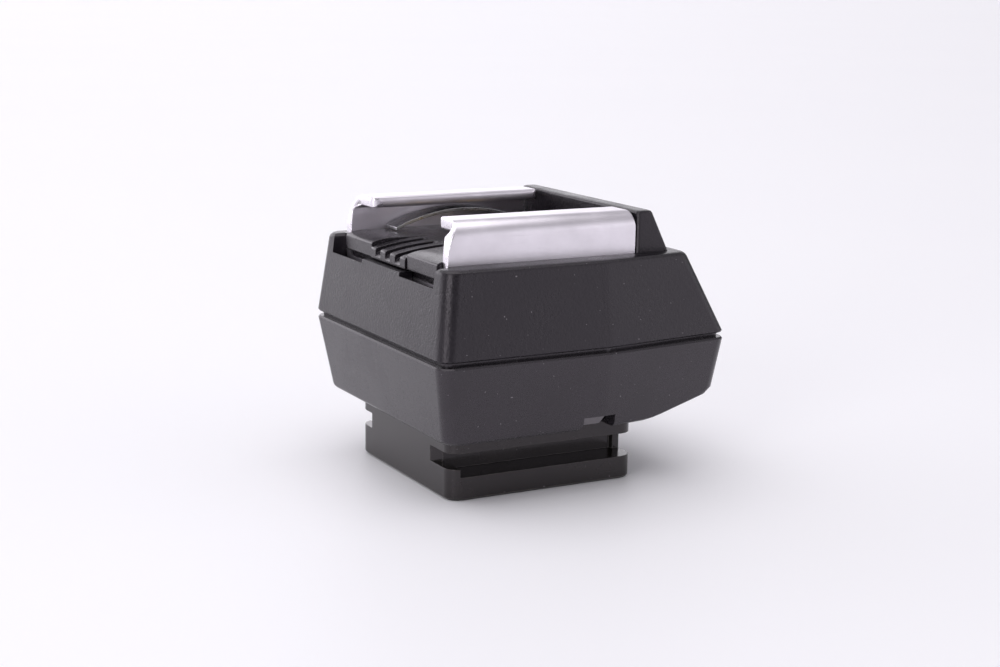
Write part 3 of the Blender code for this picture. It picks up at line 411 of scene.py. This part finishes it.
def make_rail(side, name):
    """One rail: its section swept along X, with rounded edges at both ends."""
    mesh = bmesh.new()
    layer = mesh.faces.layers.float.new("edge")
    rows = []
    turns = [(EDGE_ROUND * (1 - math.sin(a)), EDGE_ROUND * (1 - math.cos(a)))
             for a in (math.pi / 2 * k / END_STEPS for k in range(END_STEPS, -1, -1))]
    ends = [(back, inset) for inset, back in reversed(turns)]
    stations = rail_stations()
    for high_end in (False, True):
        for along, inset in (ends if not high_end else ends[::-1]):
            row = []
            for outer_y, outer_z, inner_y, inner_z, front, back, share in stations:
                outer = Vector((outer_y, outer_z))
                inner = Vector((inner_y, inner_z))
                gap = (inner - outer).length
                pull = (inner - outer) / gap * min(inset, gap * 0.45)
                a, b = outer + pull, inner - pull
                if high_end:
                    x_outer = x_inner = RAIL_BACK - back - along
                else:
                    x_outer = RAIL_FRONT + front + along
                    x_inner = RAIL_FRONT + front * share + along
                row.append((mesh.verts.new((x_outer * MM, side * a.x * MM, a.y * MM)),
                            mesh.verts.new((x_inner * MM, side * b.x * MM, b.y * MM))))
            rows.append(row)
    count = len(stations)
    for number, (row, after) in enumerate(zip(rows, rows[1:])):
        rounded = number < len(ends) - 1 or number >= len(rows) - len(ends)
        for k in range(count - 1):
            for which in (0, 1):
                corners = (row[k], row[k + 1], after[k + 1], after[k])
                face = mesh.faces.new([corner[which] for corner in corners])
                face[layer] = 1.0 if rounded else 0.0
        for k in (0, count - 1):
            mesh.faces.new((row[k][0], row[k][1], after[k][1], after[k][0]))
    for row in (rows[0], rows[-1]):
        for k in range(count - 1):
            face = mesh.faces.new((row[k][0], row[k + 1][0], row[k + 1][1], row[k][1]))
            face[layer] = 1.0
    bmesh.ops.recalc_face_normals(mesh, faces=mesh.faces)
    add_frame_piece(name, mesh, 40.0)


def make_frame_plate():
    """The channel's floor plate under the base block, cut off where the rails start."""
    mesh = joined_copy("shoe_frame")
    mesh.faces.layers.float.new("edge")
    geometry = mesh.verts[:] + mesh.edges[:] + mesh.faces[:]
    bmesh.ops.bisect_plane(mesh, geom=geometry, dist=0.0001 * MM, clear_outer=True,
                           plane_co=(0.0, 0.0, PLATE_TOP * MM), plane_no=(0.0, 0.0, 1.0))
    bmesh.ops.holes_fill(mesh, edges=[edge for edge in mesh.edges if edge.is_boundary])
    add_frame_piece("frame_plate", mesh, SMOOTH_ANGLE)


def node_slot(node):
    """The record's material slot of a CAD node, read from its own material's name."""
    slots = frame["nodes"][node].material_slots
    return slots[0].material.name.split(".")[0]


DOWN = (0.0, 0.0, -1.0)
UP = (0.0, 0.0, 1.0)
BACKWARD = (1.0, 0.0, 0.0)

# Each coil's moving body, and the way that body travels as it squeezes the coil.
SPRING_TRAVEL = {
    "release_spring": ("release_slide_body", BACKWARD),
    "lock_spring": ("lock_pin_body", UP),
}
for contact in ("centre", "ready", "control"):
    SPRING_TRAVEL[f"{contact}_contact_spring"] = (f"{contact}_contact_body", DOWN)
for number in range(1, 5):
    SPRING_TRAVEL[f"foot_contact_spring_{number}"] = (f"foot_contact_{number}_body", UP)


def make_spring(node, material):
    """A copy of a coil, baked in place, with its material, standing for its CAD node."""
    data = frame["nodes"][node].data.copy()
    data.transform(frame["nodes"][node].matrix_world)
    piece = bpy.data.objects.new(f"{node}_piece", data)
    bpy.context.scene.collection.objects.link(piece)
    stand_for(piece, node, material)
    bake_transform(piece)


make_rail(1, "rail_left")
make_rail(-1, "rail_right")
make_frame_plate()
for node in sorted(frame["nodes"]):
    if node == "shoe_frame":
        continue
    slot = node_slot(node)
    material = MATERIALS["foot_gloss" if node == "foot_block" else slot]
    if node in SPRING_TRAVEL:
        make_spring(node, material)
    elif node in ROUNDING:
        piece = rounded_piece(node, *ROUNDING[node])
        stand_for(piece, node, material)
        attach(piece, BODY_OF[node])
    else:
        for place in frame["nodes"][node].material_slots:
            place.material = material


# ---------------------------------------------------------------- floor, light and camera

FLOOR_RADIUS = 6.0
FLOOR_DROP = 0.02 * MM
SOFT_WHITE = (1.0, 0.985, 1.0)
SOFTBOX_SIZE = (0.2, 0.34)
SOFTBOX_PLACE = Vector((-0.50, -0.33, 0.17))
SOFTBOX_TARGET = Vector((0.0, 0.0, 0.012))
SOFTBOX_POWER = 1.0
SUN_POWER = 1.4
SUN_SPREAD = 70.0
SUN_TRAVEL = Vector((0.12, -0.02, -1.0))


def make_floor():
    """A wide pale floor just under the foot."""
    mesh = bmesh.new()
    bmesh.ops.create_circle(mesh, cap_ends=True, segments=96, radius=FLOOR_RADIUS)
    data = bpy.data.meshes.new("floor_shape")
    mesh.to_mesh(data)
    mesh.free()
    floor = bpy.data.objects.new("floor", data)
    floor.location = (0.0, 0.0, -FLOOR_DROP)
    bpy.context.scene.collection.objects.link(floor)
    made, tree, shader = new_material("pale_floor", (0.88, 0.875, 0.90), 0.0, 0.55)
    patch = noise(tree, object_point(tree), 9.0, 3.0)
    shade = blend_color(tree, patch, (0.875, 0.87, 0.90), (0.89, 0.885, 0.91))
    tree.links.new(shade, shader.inputs["Base Color"])
    shader.inputs["Specular IOR Level"].default_value = 0.25
    data.materials.append(made)


def make_world():
    """A pale surround: bright behind, a paler patch at the front right, dim elsewhere and high up."""
    world = bpy.data.worlds.new("studio")
    bpy.context.scene.world = world
    world.use_nodes = True
    tree = world.node_tree
    where = tree.nodes.new("ShaderNodeTexCoord")
    split = tree.nodes.new("ShaderNodeSeparateXYZ")
    tree.links.new(where.outputs["Generated"], split.inputs["Vector"])

    def towards(x, y):
        return combine(tree, "ADD", combine(tree, "MULTIPLY", split.outputs["Y"], y),
                       combine(tree, "MULTIPLY", split.outputs["X"], x))

    back = ramp(tree, towards(-0.25, 0.97), 0.35, 0.80, 0.12, 2.5)
    right = ramp(tree, towards(0.77, -0.64), 0.72, 0.88, 0.0, 1.2)
    around = combine(tree, "ADD", back, right)
    high = ramp(tree, split.outputs["Z"], 0.15, 0.65, 0.0, 1.0)
    strength = blend_value(tree, high, around, 0.5)
    tree.links.new(strength, tree.nodes["Background"].inputs["Strength"])
    tree.nodes["Background"].inputs["Color"].default_value = (0.97, 0.95, 1.0, 1.0)


def make_softbox():
    """A low softbox to the left and in front."""
    data = bpy.data.lights.new("softbox", "AREA")
    data.shape = "RECTANGLE"
    data.size, data.size_y = SOFTBOX_SIZE
    data.energy = SOFTBOX_POWER
    data.color = SOFT_WHITE
    light = bpy.data.objects.new("softbox", data)
    light.location = SOFTBOX_PLACE
    direction = SOFTBOX_TARGET - light.location
    light.rotation_euler = direction.to_track_quat("-Z", "Y").to_euler()
    bpy.context.scene.collection.objects.link(light)


def make_sun():
    """One very wide soft light from above."""
    data = bpy.data.lights.new("soft_overhead", "SUN")
    data.energy = SUN_POWER
    data.angle = math.radians(SUN_SPREAD)
    data.color = SOFT_WHITE
    light = bpy.data.objects.new("soft_overhead", data)
    light.rotation_euler = SUN_TRAVEL.to_track_quat("-Z", "Y").to_euler()
    bpy.context.scene.collection.objects.link(light)


def make_camera():
    """A camera a little above the object, at its front left corner."""
    data = bpy.data.cameras.new("camera")
    data.sensor_width = 36.0
    data.lens = CAMERA_LENS
    data.clip_start = 0.005
    data.clip_end = 20.0
    camera = bpy.data.objects.new("camera", data)
    turn = Matrix.Rotation(math.radians(CAMERA_AZIMUTH), 4, "Z")
    tilt = Matrix.Rotation(math.radians(90.0 - CAMERA_ELEVATION), 4, "X")
    roll = Matrix.Rotation(math.radians(CAMERA_ROLL), 4, "Z")
    camera.matrix_world = Matrix.Translation(CAMERA_PLACE) @ turn @ tilt @ roll
    bpy.context.scene.collection.objects.link(camera)
    bpy.context.scene.camera = camera


make_floor()
make_world()
make_sun()
make_softbox()
make_camera()
bpy.context.scene.view_settings.view_transform = "Standard"
